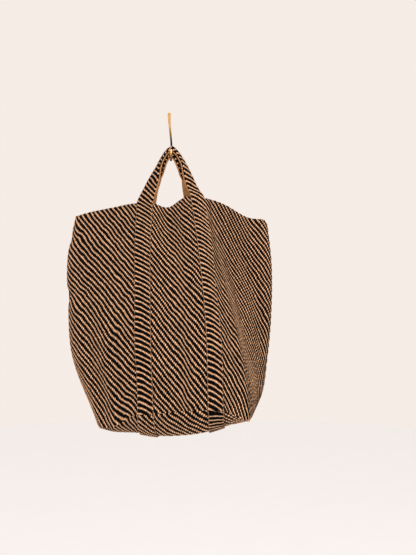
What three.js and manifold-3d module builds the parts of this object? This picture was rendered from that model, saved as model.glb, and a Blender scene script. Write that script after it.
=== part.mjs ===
import * as THREE from 'three';
import { mergeVertices } from 'three/addons/utils/BufferGeometryUtils.js';
import Module from 'manifold-3d';

// A jute carryall bag that hangs by both handles from a brass hook.
// Millimetres, +Z up, +Y into the wall. The origin is the middle of the back of the hook's plate,
// and a depth is a distance in front of the wall, so it is measured along -Y.

// Cloth
const CLOTH = 3;             // thickness of the wall, the base, the straps and the facings
const PIECE_GAP = 0.3;       // between two sewn pieces
const SEAM_GAP = 0.6;        // between the ends of two panels that meet at a seam
const WALL_ROWS = 24;        // steps from the seam with the base up to the rim
const STRAP_COLUMNS = 3;     // steps across a strap
const BASE_SAG = 49;         // how far the middle of the base hangs below its edges
const STRAP_FACE = PIECE_GAP + CLOTH;            // from the wall's face to a strap's outer face
const FACING_FACE = CLOTH + PIECE_GAP;           // from a strap's outer face to its facing
const HANDLE_STEPS = 3;      // steps between two stations of a handle

// Heights of the sections through the bag's wall, as a share of the way from seam to rim
const LEVELS = [0, 0.1, 0.3, 0.55, 0.8, 1];

// One row for each upright line of the wall, round the bag from its left fold along the front.
// steps: grid columns to the next line; cloth: width of cloth to the next line;
// x and depth: place of the line at each level; seam and rim: its heights at the two ends.
const LINES = [
  { name: 'left fold', steps: 1, cloth: 6, seam: -575, rim: -138,
    x: [-149, -172, -209, -221, -224, -208], depth: [78, 70, 50, 37, 24, 15] },
  { name: 'left fold, front', steps: 4, cloth: 54, seam: -575, rim: -138,
    x: [-149, -171, -207, -218, -221, -205], depth: [84, 76, 56, 42, 29, 20] },
  { name: 'left front turn', steps: 2, cloth: 44, seam: -579, rim: -130,
    x: [-138, -149, -173, -177, -181, -174], depth: [130, 121, 94, 70, 47, 28] },
  { name: 'front left corner', steps: 4, cloth: 58, seam: -574, rim: -121,
    x: [-111, -112, -122, -123, -127, -126], depth: [148, 141, 118, 92, 64, 36] },
  { name: 'left strap, outer', steps: 3, cloth: 34, seam: -547, rim: -113,
    x: [-61, -61, -67, -69, -72, -71], depth: [156, 153, 140, 118, 86, 53] },
  { name: 'left strap, inner', steps: 3, cloth: 53, seam: -546, rim: -114,
    x: [-28, -30, -34, -37, -39, -37], depth: [158, 156, 144, 123, 90, 56] },
  { name: 'front middle', steps: 1, cloth: 20, seam: -540, rim: -121,
    x: [25, 25, 22, 16, 9, 2], depth: [161, 160, 150, 129, 91, 50] },
  { name: 'front past the middle', steps: 2, cloth: 33, seam: -539, rim: -107,
    x: [46, 45, 42, 36, 27, 20], depth: [162, 161, 152, 131, 95, 54] },
  { name: 'right strap, inner', steps: 3, cloth: 34, seam: -538, rim: -98,
    x: [80, 79, 77, 69, 56, 43], depth: [160, 160, 151, 130, 96, 62] },
  { name: 'right strap, outer', steps: 3, cloth: 54, seam: -540, rim: -102,
    x: [111, 110, 107, 96, 85, 72], depth: [157, 152, 134, 110, 77, 48] },
  { name: 'front right corner', steps: 2, cloth: 38, seam: -561, rim: -103,
    x: [160, 158, 147, 125, 97, 88], depth: [150, 139, 104, 65, 37, 24] },
  { name: 'right hollow', steps: 2, cloth: 38, seam: -565, rim: -113,
    x: [167, 171, 169, 150, 124, 117], depth: [116, 104, 66, 42, 25, 19] },
  { name: 'right flank', steps: 2, cloth: 32, seam: -567, rim: -141,
    x: [172, 184, 190, 185, 172, 165], depth: [80, 62, 37, 26, 22, 20] },
  { name: 'right fold, front', steps: 1, cloth: 6, seam: -569, rim: -148,
    x: [175, 193, 207, 216, 216, 207], depth: [48, 34, 24, 19, 17, 16] },
  { name: 'right fold', steps: 1, cloth: 6, seam: -569, rim: -148,
    x: [175, 195, 210, 219, 219, 210], depth: [42, 28, 19, 15, 13, 12] },
  { name: 'right fold, back', steps: 2, cloth: 28, seam: -569, rim: -148,
    x: [175, 193, 207, 216, 216, 207], depth: [36, 22, 14, 10, 9, 8] },
  { name: 'back right corner', steps: 3, cloth: 58, seam: -571, rim: -144,
    x: [174, 181, 186, 188, 186, 173], depth: [10, 8, 7, 6, 6, 6] },
  { name: 'back right strap, outer', steps: 3, cloth: 34, seam: -568, rim: -124,
    x: [113, 111, 105, 95, 80, 66], depth: [9, 8, 7, 6, 6, 6] },
  { name: 'back right strap, inner', steps: 7, cloth: 106, seam: -568, rim: -122,
    x: [79, 77, 71, 61, 46, 32], depth: [9, 8, 7, 6, 6, 6] },
  { name: 'back left strap, inner', steps: 3, cloth: 34, seam: -568, rim: -122,
    x: [-29, -29, -30, -31, -33, -34], depth: [9, 8, 7, 6, 6, 6] },
  { name: 'back left strap, outer', steps: 5, cloth: 58, seam: -569, rim: -123,
    x: [-63, -63, -64, -65, -67, -68], depth: [9, 8, 7, 6, 6, 6] },
  { name: 'back left corner', steps: 4, cloth: 54, seam: -574, rim: -132,
    x: [-130, -146, -172, -188, -190, -172], depth: [10, 8, 7, 6, 6, 6] },
  { name: 'left fold, back', steps: 1, cloth: 6, seam: -575, rim: -138,
    x: [-148, -171, -207, -218, -221, -205], depth: [72, 64, 44, 32, 19, 10] },
];

// Soft folds of the wall. line and past: the upright line and the cloth to its right;
// up: share of the height; half and long: half width and half length; lean: degrees from
// upright, to the right; push: outwards, or inwards where it is negative.
const FOLDS = [
  { line: 'front left corner', past: 18, up: 0.24, half: 11, long: 85, lean: 8, push: -7 },
  { line: 'front left corner', past: -22, up: 0.16, half: 17, long: 70, lean: 0, push: 6 },
  { line: 'left fold', past: 6, up: 0.6, half: 11, long: 40, lean: 84, push: -8 },
  { line: 'left fold', past: 30, up: 0.9, half: 11, long: 46, lean: 75, push: -4 },
  { line: 'front middle', past: -6, up: 0.9, half: 20, long: 60, lean: -14, push: -5 },
  { line: 'right flank', past: -20, up: 0.8, half: 13, long: 80, lean: -10, push: -4 },
  { line: 'right flank', past: 10, up: 0.2, half: 15, long: 60, lean: -16, push: 4 },
];

// Handles: one row for each station from the left end to the right one, as the places of the
// two edges of the strap's outer face. Each place is x, depth, z.
const FRONT_HANDLE = [
  { outer: [-60, 41, -83], inner: [-31, 59, -85] },
  { outer: [-48, 33, -58], inner: [-26, 58, -62] },
  { outer: [-33, 23, -31], inner: [-23, 53, -32] },
  { outer: [-22, 17, -9], inner: [-15, 48, -13] },
  { outer: [-10, 15, 8], inner: [-7, 45, -2] },
  { outer: [2, 14, 16], inner: [2, 44, 1] },
  { outer: [13, 15, 7], inner: [11, 45, -3] },
  { outer: [24, 17, -8], inner: [19, 48, -13] },
  { outer: [36, 22, -29], inner: [27, 53, -30] },
  { outer: [50, 33, -58], inner: [32, 60, -61] },
  { outer: [61, 44, -82], inner: [39, 64, -84] },
];
const BACK_HANDLE = [
  { outer: [-57, 24, -81], inner: [-30, 9, -79] },
  { outer: [-24, 45, -57], inner: [-27, 13, -55] },
  { outer: [-17, 47, -40], inner: [-24, 16, -37] },
  { outer: [-12, 47, -25], inner: [-17, 16, -19] },
  { outer: [-6, 46, -15], inner: [-9, 16, -3] },
  { outer: [1, 46, -11], inner: [1, 16, 5] },
  { outer: [9, 46, -16], inner: [11, 16, -3] },
  { outer: [15, 47, -27], inner: [20, 16, -20] },
  { outer: [21, 47, -41], inner: [27, 16, -38] },
  { outer: [27, 45, -57], inner: [29, 13, -55] },
  { outer: [55, 26, -80], inner: [27, 9, -79] },
];

// Hook: a plate on the wall, a long upper prong and a short lower one that turns up.
const PLATE_RADIUS = 12;
const PLATE_THICKNESS = 3;
const PLATE_SIDES = 28;
const PRONG_SIDES = 8;
const PRONG_STEPS = 3;
// One row for each station of a prong: place as x, depth, z, then width and thickness.
const UPPER_PRONG = [
  { at: [0, 2.6, 2], width: 5, thickness: 4 },
  { at: [0.2, 5, 9], width: 4.6, thickness: 3.6 },
  { at: [0, 9, 22], width: 4.3, thickness: 3.4 },
  { at: [-1.5, 18, 42], width: 4.4, thickness: 3.2 },
  { at: [-3, 28, 62], width: 5.2, thickness: 3 },
  { at: [-3.4, 36, 82], width: 7, thickness: 2.8 },
];
const LOWER_PRONG = [
  { at: [0, 1.6, 1.5], width: 4.6, thickness: 4.2 },
  { at: [0.4, 12, -4.7], width: 4.4, thickness: 4.2 },
  { at: [0.8, 27, -13.5], width: 4.4, thickness: 4.2 },
  { at: [1, 41, -20.9], width: 4.4, thickness: 4.2 },
  { at: [1.2, 49, -21.6], width: 4.6, thickness: 4 },
  { at: [1.4, 54, -13], width: 4.8, thickness: 3.8 },
  { at: [1.4, 54, 0.5], width: 5, thickness: 3.6 },
];

const WEAVE = { color: 0x6e5440, roughness: 0.95, metalness: 0 };
const NATURAL = { color: 0xc79468, roughness: 0.92, metalness: 0 };
const BRASS = { color: 0xc08a33, roughness: 0.28, metalness: 1 };

// Smooth curve through values at rising knots; a closed one repeats after the period.
function smooth(knots, values, t, period = 0) {
  const n = knots.length;
  const knot = (k) => knots[((k % n) + n) % n] + Math.floor(k / n) * period;
  const value = (k) => values[((k % n) + n) % n];
  const last = period ? n : n - 1;
  let k = 0;
  while (k < last - 1 && t >= knot(k + 1)) k += 1;
  const slope = (i) => {
    const before = period || i > 0 ? (value(i) - value(i - 1)) / (knot(i) - knot(i - 1)) : null;
    const after = period || i < n - 1 ? (value(i + 1) - value(i)) / (knot(i + 1) - knot(i)) : null;
    if (before === null) return after;
    if (after === null) return before;
    const left = knot(i) - knot(i - 1);
    const right = knot(i + 1) - knot(i);
    return (before * right + after * left) / (left + right);
  };
  const h = knot(k + 1) - knot(k);
  const s = (t - knot(k)) / h;
  return value(k) * (2 * s ** 3 - 3 * s ** 2 + 1) + value(k + 1) * (3 * s ** 2 - 2 * s ** 3)
    + slope(k) * h * (s ** 3 - 2 * s ** 2 + s) + slope(k + 1) * h * (s ** 3 - s ** 2);
}

const place = ([x, depth, z]) => new THREE.Vector3(x, -depth, z);
const sum = (list, pick) => list.reduce((total, item) => total + pick(item), 0);

// Where each line stands round the bag, in cloth and in grid columns
const lineCloth = LINES.map((_, k) => sum(LINES.slice(0, k), (line) => line.cloth));
const lineColumn = LINES.map((_, k) => sum(LINES.slice(0, k), (line) => line.steps));
const ROUND = sum(LINES, (line) => line.cloth);
const COLUMNS = sum(LINES, (line) => line.steps);
const columnOf = (name) => lineColumn[LINES.findIndex((line) => line.name === name)];
const clothOf = (name) => lineCloth[LINES.findIndex((line) => line.name === name)];

const columnCloth = LINES.flatMap((line, k) =>
  Array.from({ length: line.steps }, (_, i) => lineCloth[k] + line.cloth * i / line.steps));

// The wall before its folds: a grid of points, rows from the seam up, columns round the bag
function hangingWall() {
  const rows = [];
  for (let r = 0; r <= WALL_ROWS; r += 1) {
    const up = r / WALL_ROWS;
    const x = LINES.map((line) => smooth(LEVELS, line.x, up));
    const depth = LINES.map((line) => smooth(LEVELS, line.depth, up));
    const z = LINES.map((line) => line.seam + (line.rim - line.seam) * up);
    rows.push(columnCloth.map((cloth) => new THREE.Vector3(
      smooth(lineCloth, x, cloth, ROUND),
      -smooth(lineCloth, depth, cloth, ROUND),
      smooth(lineCloth, z, cloth, ROUND),
    )));
  }
  return rows;
}

// Outward normals of a grid whose columns run to the right seen from outside
function gridNormals(grid, closed) {
  const rows = grid.length;
  const columns = grid[0].length;
  const column = (c) => (closed ? (c + columns) % columns : Math.min(Math.max(c, 0), columns - 1));
  const row = (r) => Math.min(Math.max(r, 0), rows - 1);
  return grid.map((line, r) => line.map((_, c) => {
    const along = grid[r][column(c + 1)].clone().sub(grid[r][column(c - 1)]);
    const up = grid[row(r + 1)][c].clone().sub(grid[row(r - 1)][c]);
    return along.cross(up).normalize();
  }));
}

const wrapped = (cloth) => cloth - ROUND * Math.round(cloth / ROUND);

function foldPush(cloth, height) {
  return sum(FOLDS, (fold) => {
    const across = wrapped(cloth - clothOf(fold.line) - fold.past);
    const upright = height - fold.up * 445;
    const lean = THREE.MathUtils.degToRad(fold.lean);
    const along = upright * Math.cos(lean) + across * Math.sin(lean);
    const beside = across * Math.cos(lean) - upright * Math.sin(lean);
    return fold.push * Math.exp(-((along / fold.long) ** 2) - (beside / fold.half) ** 2);
  });
}

const bareWall = hangingWall();
const bareNormals = gridNormals(bareWall, true);
const wall = bareWall.map((row, r) => row.map((point, c) => {
  const push = foldPush(columnCloth[c], 445 * r / WALL_ROWS);
  return point.clone().addScaledVector(bareNormals[r][c], push);
}));
const wallNormals = gridNormals(wall, true);
const wallTangents = wall.map((row) => row.map((_, c) =>
  row[(c + 1) % COLUMNS].clone().sub(row[(c + COLUMNS - 1) % COLUMNS]).normalize()));

// The base: a grid from front to back and left to right, stretched between the wall's lower
// edge on its four sides, and hanging below them in the middle
const frontLeft = columnOf('left front turn');
const frontRight = columnOf('front right corner');
const backRight = columnOf('back right corner');
const backLeft = columnOf('back left corner');
const BASE_COLUMNS = frontRight - frontLeft;
const BASE_ROWS = backRight - frontRight;

const baseRim = (i, j) => {
  if (j === 0) return frontLeft + i;
  if (j === BASE_ROWS) return backLeft - i;
  if (i === 0) return (frontLeft - j + COLUMNS) % COLUMNS;
  return frontRight + j;
};

function stretchedBase(edge) {
  const corner = (i, j) => edge[baseRim(i, j)];
  const width = clothOf('front right corner') - clothOf('left front turn');
  return Array.from({ length: BASE_ROWS + 1 }, (_, j) => {
    const back = j / BASE_ROWS;
    return Array.from({ length: BASE_COLUMNS + 1 }, (__, i) => {
      const right = (columnCloth[frontLeft + i] - columnCloth[frontLeft]) / width;
      const bulge = (side, share) => corner(side, j).clone()
        .sub(corner(side, 0).clone().lerp(corner(side, BASE_ROWS), back))
        .multiplyScalar(share ** 3);
      const point = corner(i, 0).clone().lerp(corner(i, BASE_ROWS), back)
        .add(bulge(0, 1 - right))
        .add(bulge(BASE_COLUMNS, right));
      const across = 1 - Math.abs(2 * right ** 1.1 - 1) ** 2.2;
      const deep = 4 * back * (1 - back);
      point.z -= BASE_SAG * across * deep;
      return point;
    });
  });
}

// At the seam the wall and the base meet in a mitre: both ends lie along the direction that
// halves the angle between them, with the gap of two sewn pieces across it.
const looseBase = stretchedBase(wall[0]);
const looseNormals = gridNormals(looseBase, false).map((row) => row.map((n) => n.negate()));
const mitre = wall[0].map(() => new THREE.Vector3());
const baseEdge = wall[0].map((point) => point.clone());
const inward = (k, last) => Math.min(Math.max(k, 1), last - 1);
for (let j = 0; j <= BASE_ROWS; j += 1) {
  for (let i = 0; i <= BASE_COLUMNS; i += 1) {
    if (i > 0 && i < BASE_COLUMNS && j > 0 && j < BASE_ROWS) continue;
    const c = baseRim(i, j);
    const out = wallNormals[0][c];
    const corner = i % BASE_COLUMNS === 0 && j % BASE_ROWS === 0;
    const under = corner ? looseNormals[inward(j, BASE_ROWS)][inward(i, BASE_COLUMNS)] : looseNormals[j][i];
    const half = out.clone().add(under).normalize();
    mitre[c].copy(half).multiplyScalar(1 / Math.max(half.dot(out), 0.6));
    baseEdge[c].addScaledVector(under.clone().sub(out).normalize(), SEAM_GAP);
  }
}
wallNormals[0] = mitre;
const base = stretchedBase(baseEdge);
const baseNormals = gridNormals(base, false).map((row, j) => row.map((n, i) => {
  const inside = i > 0 && i < BASE_COLUMNS && j > 0 && j < BASE_ROWS;
  return inside ? n.negate() : mitre[baseRim(i, j)];
}));

const offset = (grid, normals, distance) =>
  grid.map((row, r) => row.map((point, c) => point.clone().addScaledVector(normals[r][c], distance)));

// A closed solid between two grids of points, the first one outside
function sheet(outer, inner, flip = false) {
  const rows = outer.length;
  const columns = outer[0].length;
  const points = [...outer.flat(), ...inner.flat()];
  const faces = [];
  const id = (side, r, c) => side * rows * columns + r * columns + c;
  const face = (a, b, c) => faces.push(...(flip ? [a, c, b] : [a, b, c]));
  const quad = (a, b, c, d) => { face(a, b, c); face(a, c, d); };
  for (let r = 0; r < rows - 1; r += 1) {
    for (let c = 0; c < columns - 1; c += 1) {
      quad(id(0, r, c), id(0, r, c + 1), id(0, r + 1, c + 1), id(0, r + 1, c));
      face(id(1, r, c), id(1, r + 1, c + 1), id(1, r, c + 1));
      face(id(1, r, c), id(1, r + 1, c), id(1, r + 1, c + 1));
    }
  }
  const top = rows - 1;
  for (let c = 0; c < columns - 1; c += 1) {
    quad(id(1, 0, c), id(1, 0, c + 1), id(0, 0, c + 1), id(0, 0, c));
    quad(id(0, top, c), id(0, top, c + 1), id(1, top, c + 1), id(1, top, c));
  }
  const end = columns - 1;
  for (let r = 0; r < top; r += 1) {
    quad(id(1, r, 0), id(0, r, 0), id(0, r + 1, 0), id(1, r + 1, 0));
    quad(id(0, r, end), id(1, r, end), id(1, r + 1, end), id(0, r + 1, end));
  }
  const geometry = new THREE.BufferGeometry();
  geometry.setAttribute('position', new THREE.Float32BufferAttribute(points.flatMap((p) => [p.x, p.y, p.z]), 3));
  geometry.setIndex(faces);
  return geometry;
}

// One panel of the wall, from one grid column to another. Each end stands back from its seam
// by half of the gap there.
function panel(first, last) {
  const columns = Array.from({ length: last - first + 1 }, (_, i) => (first + i) % COLUMNS);
  const face = wall.map((row, r) => columns.map((c, i) => {
    const end = i === 0 ? 1 : -1;
    const back = i === 0 || i === columns.length - 1 ? end * SEAM_GAP / 2 : 0;
    return row[c].clone().addScaledVector(wallTangents[r][c], back);
  }));
  const normals = wallNormals.map((row) => columns.map((c) => row[c]));
  return sheet(face, offset(face, normals, -CLOTH), false);
}

// One strap: up the wall on the left, free as a handle, and down the wall on the right.
// left and right: the wall's columns under it, in the order that faces outwards.
function strap(left, right, stations) {
  const up = wall.map((row, r) => left.map((c) =>
    row[c].clone().addScaledVector(wallNormals[r][c], STRAP_FACE)));
  const down = wall.map((row, r) => right.map((c) =>
    row[c].clone().addScaledVector(wallNormals[r][c], STRAP_FACE))).reverse();
  const guides = [
    up[WALL_ROWS - 1], up[WALL_ROWS],
    ...stations.map(({ first, second }) => left.map((_, i) =>
      place(first).lerp(place(second), i / STRAP_COLUMNS))),
    down[0], down[1],
  ];
  const middle = guides.map((row) => row[0].clone().lerp(row[STRAP_COLUMNS], 0.5));
  const knots = [0];
  for (let k = 1; k < middle.length; k += 1) {
    knots.push(knots[k - 1] + middle[k].distanceTo(middle[k - 1]));
  }
  const times = [knots[1] + 0.5];
  for (let k = 1; k < knots.length - 2; k += 1) {
    for (let step = 0; step < HANDLE_STEPS; step += 1) {
      const t = knots[k] + (knots[k + 1] - knots[k]) * step / HANDLE_STEPS;
      if (t > times[0] + 1) times.push(t);
    }
  }
  times.push(knots[knots.length - 2] - 0.5);
  const free = times.map((t) => left.map((_, i) => new THREE.Vector3(
    smooth(knots, guides.map((row) => row[i].x), t),
    smooth(knots, guides.map((row) => row[i].y), t),
    smooth(knots, guides.map((row) => row[i].z), t),
  )));
  const face = [...up, ...free, ...down];
  const normals = gridNormals(face, false);
  wall.forEach((_, r) => {
    normals[r] = left.map((c) => wallNormals[r][c]);
    normals[face.length - 1 - r] = right.map((c) => wallNormals[r][c]);
  });
  normals[up.length] = normals[up.length - 1];
  normals[face.length - 1 - up.length] = normals[face.length - up.length];
  const handle = face.slice(up.length, up.length + free.length);
  const handleNormals = normals.slice(up.length, up.length + free.length);
  return {
    band: sheet(face, offset(face, normals, -CLOTH)),
    facing: sheet(
      offset(handle, handleNormals, -FACING_FACE),
      offset(handle, handleNormals, -FACING_FACE - CLOTH),
    ),
  };
}

const columnsFrom = (first, step) =>
  Array.from({ length: STRAP_COLUMNS + 1 }, (_, i) => first + step * i);

const front = strap(
  columnsFrom(columnOf('left strap, outer'), 1),
  columnsFrom(columnOf('right strap, outer'), -1),
  FRONT_HANDLE.map(({ outer, inner }) => ({ first: outer, second: inner })),
);
const back = strap(
  columnsFrom(columnOf('back left strap, inner'), 1),
  columnsFrom(columnOf('back right strap, inner'), -1),
  BACK_HANDLE.map(({ outer, inner }) => ({ first: inner, second: outer })),
);

function baseBand(line) {
  const first = columnOf(line) - frontLeft;
  const cut = (grid) => grid.map((row) => row.slice(first, first + STRAP_COLUMNS + 1));
  const face = cut(base);
  const normals = cut(baseNormals);
  return sheet(offset(face, normals, STRAP_FACE), offset(face, normals, PIECE_GAP), true);
}

// A tapering bar through the stations of a prong, with its corners cut off
function prong(stations) {
  const knots = [0];
  for (let k = 1; k < stations.length; k += 1) {
    knots.push(knots[k - 1] + place(stations[k].at).distanceTo(place(stations[k - 1].at)));
  }
  const at = (t) => new THREE.Vector3(
    smooth(knots, stations.map((s) => s.at[0]), t),
    -smooth(knots, stations.map((s) => s.at[1]), t),
    smooth(knots, stations.map((s) => s.at[2]), t),
  );
  const rings = [];
  const total = (stations.length - 1) * PRONG_STEPS;
  const reach = knots[knots.length - 1];
  const across = new THREE.Vector3(1, 0, 0);
  for (let k = 0; k <= total; k += 1) {
    const t = reach * k / total;
    const ahead = at(Math.min(t + 0.5, reach)).sub(at(Math.max(t - 0.5, 0))).normalize();
    const side = across.clone().addScaledVector(ahead, -across.dot(ahead)).normalize();
    const face = ahead.clone().cross(side);
    const width = smooth(knots, stations.map((s) => s.width), t);
    const thickness = smooth(knots, stations.map((s) => s.thickness), t);
    rings.push(Array.from({ length: PRONG_SIDES }, (_, i) => {
      const angle = 2 * Math.PI * (i + 0.5) / PRONG_SIDES;
      return at(t)
        .addScaledVector(side, width / 2 * Math.cos(angle) / Math.cos(Math.PI / PRONG_SIDES))
        .addScaledVector(face, thickness / 2 * Math.sin(angle) / Math.cos(Math.PI / PRONG_SIDES));
    }));
  }
  const points = [...rings.flat(), at(0), at(reach)];
  const faces = [];
  const id = (k, i) => k * PRONG_SIDES + (i % PRONG_SIDES);
  for (let i = 0; i < PRONG_SIDES; i += 1) {
    for (let k = 0; k < total; k += 1) {
      faces.push(id(k, i), id(k, i + 1), id(k + 1, i + 1), id(k, i), id(k + 1, i + 1), id(k + 1, i));
    }
    faces.push(id(0, i + 1), id(0, i), points.length - 2, id(total, i), id(total, i + 1), points.length - 1);
  }
  const geometry = new THREE.BufferGeometry();
  geometry.setAttribute('position', new THREE.Float32BufferAttribute(points.flatMap((p) => [p.x, p.y, p.z]), 3));
  geometry.setIndex(faces);
  return geometry;
}

const wasm = await Module();
wasm.setup();

function toManifold(geometry) {
  const bare = new THREE.BufferGeometry();
  bare.setAttribute('position', geometry.getAttribute('position'));
  bare.setIndex(geometry.getIndex());
  const joined = mergeVertices(bare, 1e-3);
  return new wasm.Manifold(new wasm.Mesh({
    numProp: 3,
    vertProperties: new Float32Array(joined.getAttribute('position').array),
    triVerts: new Uint32Array(joined.getIndex().array),
  }));
}

function fromManifold(solid) {
  const mesh = solid.getMesh();
  const geometry = new THREE.BufferGeometry();
  geometry.setAttribute('position', new THREE.Float32BufferAttribute(Array.from(mesh.vertProperties), 3));
  geometry.setIndex(Array.from(mesh.triVerts));
  return geometry;
}

function hook() {
  const plate = new THREE.CylinderGeometry(PLATE_RADIUS, PLATE_RADIUS, PLATE_THICKNESS, PLATE_SIDES);
  plate.translate(0, -PLATE_THICKNESS / 2, 0);
  return fromManifold(toManifold(plate).add(toManifold(prong(UPPER_PRONG))).add(toManifold(prong(LOWER_PRONG))));
}

// The front's two panels meet under the left strap, which hides their seam
const underStrap = columnOf('left strap, outer') + 1;

const bag = new THREE.Group();
bag.name = 'jute_carryall_bag';

function add(name, geometry, look) {
  geometry.computeVertexNormals();
  const mesh = new THREE.Mesh(geometry, new THREE.MeshStandardMaterial(look));
  mesh.name = name;
  bag.add(mesh);
}

add('front_left_panel', panel(frontLeft, underStrap), WEAVE);
add('front_panel', panel(underStrap, frontRight), WEAVE);
add('left_side_panel', panel(columnOf('left fold'), frontLeft), WEAVE);
add('right_side_panel', panel(frontRight, columnOf('right fold')), WEAVE);
add('back_panel', panel(columnOf('right fold'), COLUMNS), WEAVE);
add('base_panel', sheet(base, offset(base, baseNormals, -CLOTH), true), WEAVE);
add('front_band', front.band, WEAVE);
add('back_band', back.band, WEAVE);
add('base_band_left', baseBand('left strap, outer'), WEAVE);
add('base_band_right', baseBand('right strap, inner'), WEAVE);
add('front_handle_facing', front.facing, NATURAL);
add('back_handle_facing', back.facing, NATURAL);
add('wall_hook', hook(), BRASS);

export default bag;
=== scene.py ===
import math

import bpy
import numpy as np
from bpy.props import FloatProperty, FloatVectorProperty, IntProperty, PointerProperty
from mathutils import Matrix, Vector


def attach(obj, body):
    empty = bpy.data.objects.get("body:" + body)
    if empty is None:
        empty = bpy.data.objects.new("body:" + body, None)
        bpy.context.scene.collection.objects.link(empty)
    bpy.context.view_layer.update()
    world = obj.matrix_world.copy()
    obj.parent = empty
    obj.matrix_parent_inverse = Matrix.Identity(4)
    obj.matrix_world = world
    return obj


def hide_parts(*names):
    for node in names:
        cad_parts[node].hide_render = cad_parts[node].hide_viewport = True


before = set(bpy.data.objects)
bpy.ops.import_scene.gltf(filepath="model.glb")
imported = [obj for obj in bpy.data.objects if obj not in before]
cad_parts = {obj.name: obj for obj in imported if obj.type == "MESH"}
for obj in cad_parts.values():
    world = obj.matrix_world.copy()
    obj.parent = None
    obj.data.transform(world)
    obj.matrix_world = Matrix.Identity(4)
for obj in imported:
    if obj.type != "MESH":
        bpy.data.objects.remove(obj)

bl_info = {
    "name": "Jute Carryall Bag",
    "version": (1, 0, 0),
    "blender": (4, 5, 0),
    "location": "3D View > Sidebar > Bag",
    "description": "Builds a striped jute bag that hangs from a brass wall hook",
    "category": "Add Mesh",
}

# Lengths in the tables are millimetres. x runs to the right, z up, and a depth is a distance in
# front of the wall that carries the hook. The origin is the middle of the back of its plate.
MM = 0.001
BODY = "root"

# Heights of the sections through the bag's wall, as a share of the way from seam to rim, and the
# cloth from seam to rim
LEVELS = (0, 0.1, 0.3, 0.55, 0.8, 1)
WALL_HEIGHT = 445

# Grid rows of the wall for each step of fineness, and the distance between two rows of a handle
WALL_ROWS = 20
HANDLE_STEP = 5

# Upright lines of the wall, round the bag from its left fold along the front: name, grid columns
# to the next line, cloth to the next line, height of the seam, height of the rim, then x and
# depth at each level
LINES = (
    ("left fold", 1, 6, -575, -138,
     (-149, -172, -209, -221, -224, -208), (78, 70, 50, 37, 24, 15)),
    ("left fold, front", 4, 54, -575, -138,
     (-149, -171, -207, -218, -221, -205), (84, 76, 56, 42, 29, 20)),
    ("left front turn", 2, 44, -579, -130,
     (-138, -149, -173, -177, -181, -174), (130, 121, 94, 70, 47, 28)),
    ("front left corner", 4, 58, -574, -121,
     (-111, -112, -122, -123, -127, -126), (148, 141, 118, 92, 64, 36)),
    ("left strap, outer", 3, 34, -547, -113,
     (-61, -61, -67, -69, -72, -71), (156, 153, 140, 118, 86, 53)),
    ("left strap, inner", 3, 53, -546, -114,
     (-28, -30, -34, -37, -39, -37), (158, 156, 144, 123, 90, 56)),
    ("front middle", 1, 20, -540, -118,
     (25, 25, 22, 16, 9, 2), (161, 160, 150, 129, 91, 50)),
    ("front past the middle", 2, 33, -539, -106,
     (46, 45, 42, 36, 27, 20), (162, 161, 152, 131, 95, 54)),
    ("right strap, inner", 3, 34, -538, -98,
     (80, 79, 77, 69, 56, 43), (160, 160, 151, 130, 96, 62)),
    ("right strap, outer", 3, 54, -540, -102,
     (111, 110, 107, 96, 85, 72), (157, 152, 134, 110, 77, 48)),
    ("front right corner", 2, 38, -561, -103,
     (160, 158, 147, 125, 97, 88), (150, 139, 104, 65, 37, 24)),
    ("right hollow", 2, 38, -565, -113,
     (167, 171, 169, 150, 124, 117), (116, 104, 66, 42, 25, 19)),
    ("right flank", 2, 32, -567, -141,
     (172, 184, 190, 185, 172, 165), (80, 62, 37, 26, 22, 20)),
    ("right fold, front", 1, 6, -569, -151,
     (175, 193, 207, 216, 216, 207), (48, 34, 24, 19, 17, 16)),
    ("right fold", 1, 6, -569, -156,
     (175, 195, 210, 219, 219, 210), (42, 28, 19, 15, 13, 12)),
    ("right fold, back", 2, 28, -569, -149,
     (175, 193, 207, 216, 216, 207), (36, 22, 14, 10, 9, 8)),
    ("back right corner", 3, 58, -571, -144,
     (174, 181, 186, 188, 186, 173), (10, 8, 7, 6, 6, 6)),
    ("back right strap, outer", 3, 34, -568, -124,
     (113, 111, 105, 95, 80, 66), (9, 8, 7, 6, 6, 6)),
    ("back right strap, inner", 7, 106, -568, -122,
     (79, 77, 71, 61, 46, 32), (9, 8, 7, 6, 6, 6)),
    ("back left strap, inner", 3, 34, -568, -122,
     (-29, -29, -30, -31, -33, -34), (9, 8, 7, 6, 6, 6)),
    ("back left strap, outer", 5, 58, -569, -123,
     (-63, -63, -64, -65, -67, -68), (9, 8, 7, 6, 6, 6)),
    ("back left corner", 4, 54, -574, -132,
     (-130, -146, -172, -188, -190, -172), (10, 8, 7, 6, 6, 6)),
    ("left fold, back", 1, 6, -575, -138,
     (-148, -171, -207, -218, -221, -205), (72, 64, 44, 32, 19, 10)),
)

# Soft folds of the wall: line, cloth past it, share of the height, half width, half length,
# degrees of lean to the right, push outwards
FOLDS = (
    ("front left corner", -4, 0.25, 10, 90, -4, 8),
    ("front left corner", -34, 0.27, 13, 95, -6, -9),
    ("left fold", 6, 0.6, 14, 34, 84, -6),
    ("left fold", 30, 0.9, 11, 46, 75, -4),
    ("front middle", -6, 0.9, 20, 60, -14, -5),
    ("right flank", -20, 0.8, 13, 80, -10, -4),
    ("right flank", 10, 0.2, 15, 60, -16, 4),
    ("front right corner", -14, 0.5, 10, 190, -5, 6),
    ("right hollow", -4, 0.55, 12, 170, 0, -7),
)

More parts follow.
